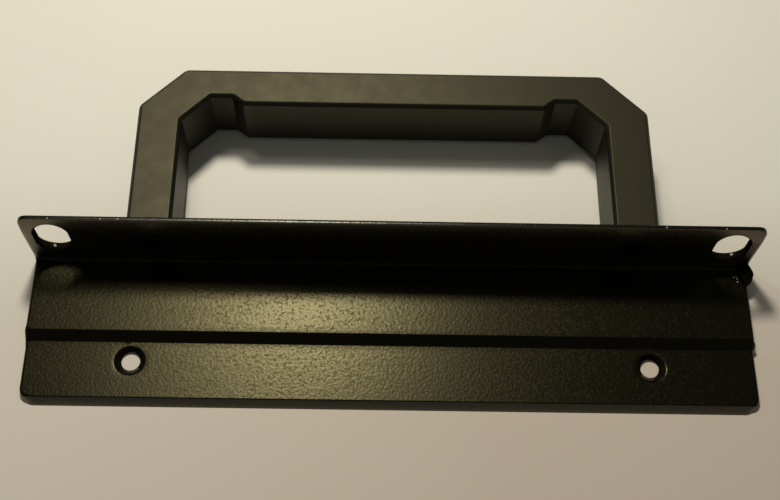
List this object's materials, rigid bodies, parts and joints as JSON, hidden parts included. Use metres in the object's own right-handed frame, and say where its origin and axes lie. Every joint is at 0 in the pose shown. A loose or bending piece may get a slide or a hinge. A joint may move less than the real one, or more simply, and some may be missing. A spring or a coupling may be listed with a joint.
{
  "type": "rack mount ear bracket",
  "caption": "Rack mount ear folded from steel sheet into an L, with a stepped side flange, rack slots, countersunk chassis holes and a U-shaped grab handle.",
  "frame": {"origin": "midway between the two chassis screw holes, on the underside of the strip, which is the face that meets the chassis", "axes": "+X along the ear, +Y from the chassis screws towards the rack flange and out to the handle, +Z off the chassis face towards the free edge of the rack flange"},
  "size_m": [0.132, 0.0605, 0.0174],
  "materials": {
    "ear_coat": "satin",
    "handle_coat": "satin",
    "screw_steel": "satin"
  },
  "bodies": {
    "root": {"ear_bracket": "ear_coat", "grab_handle": "handle_coat", "handle_screw_left": "screw_steel", "handle_screw_right": "screw_steel"}
  },
  "joints": []
}
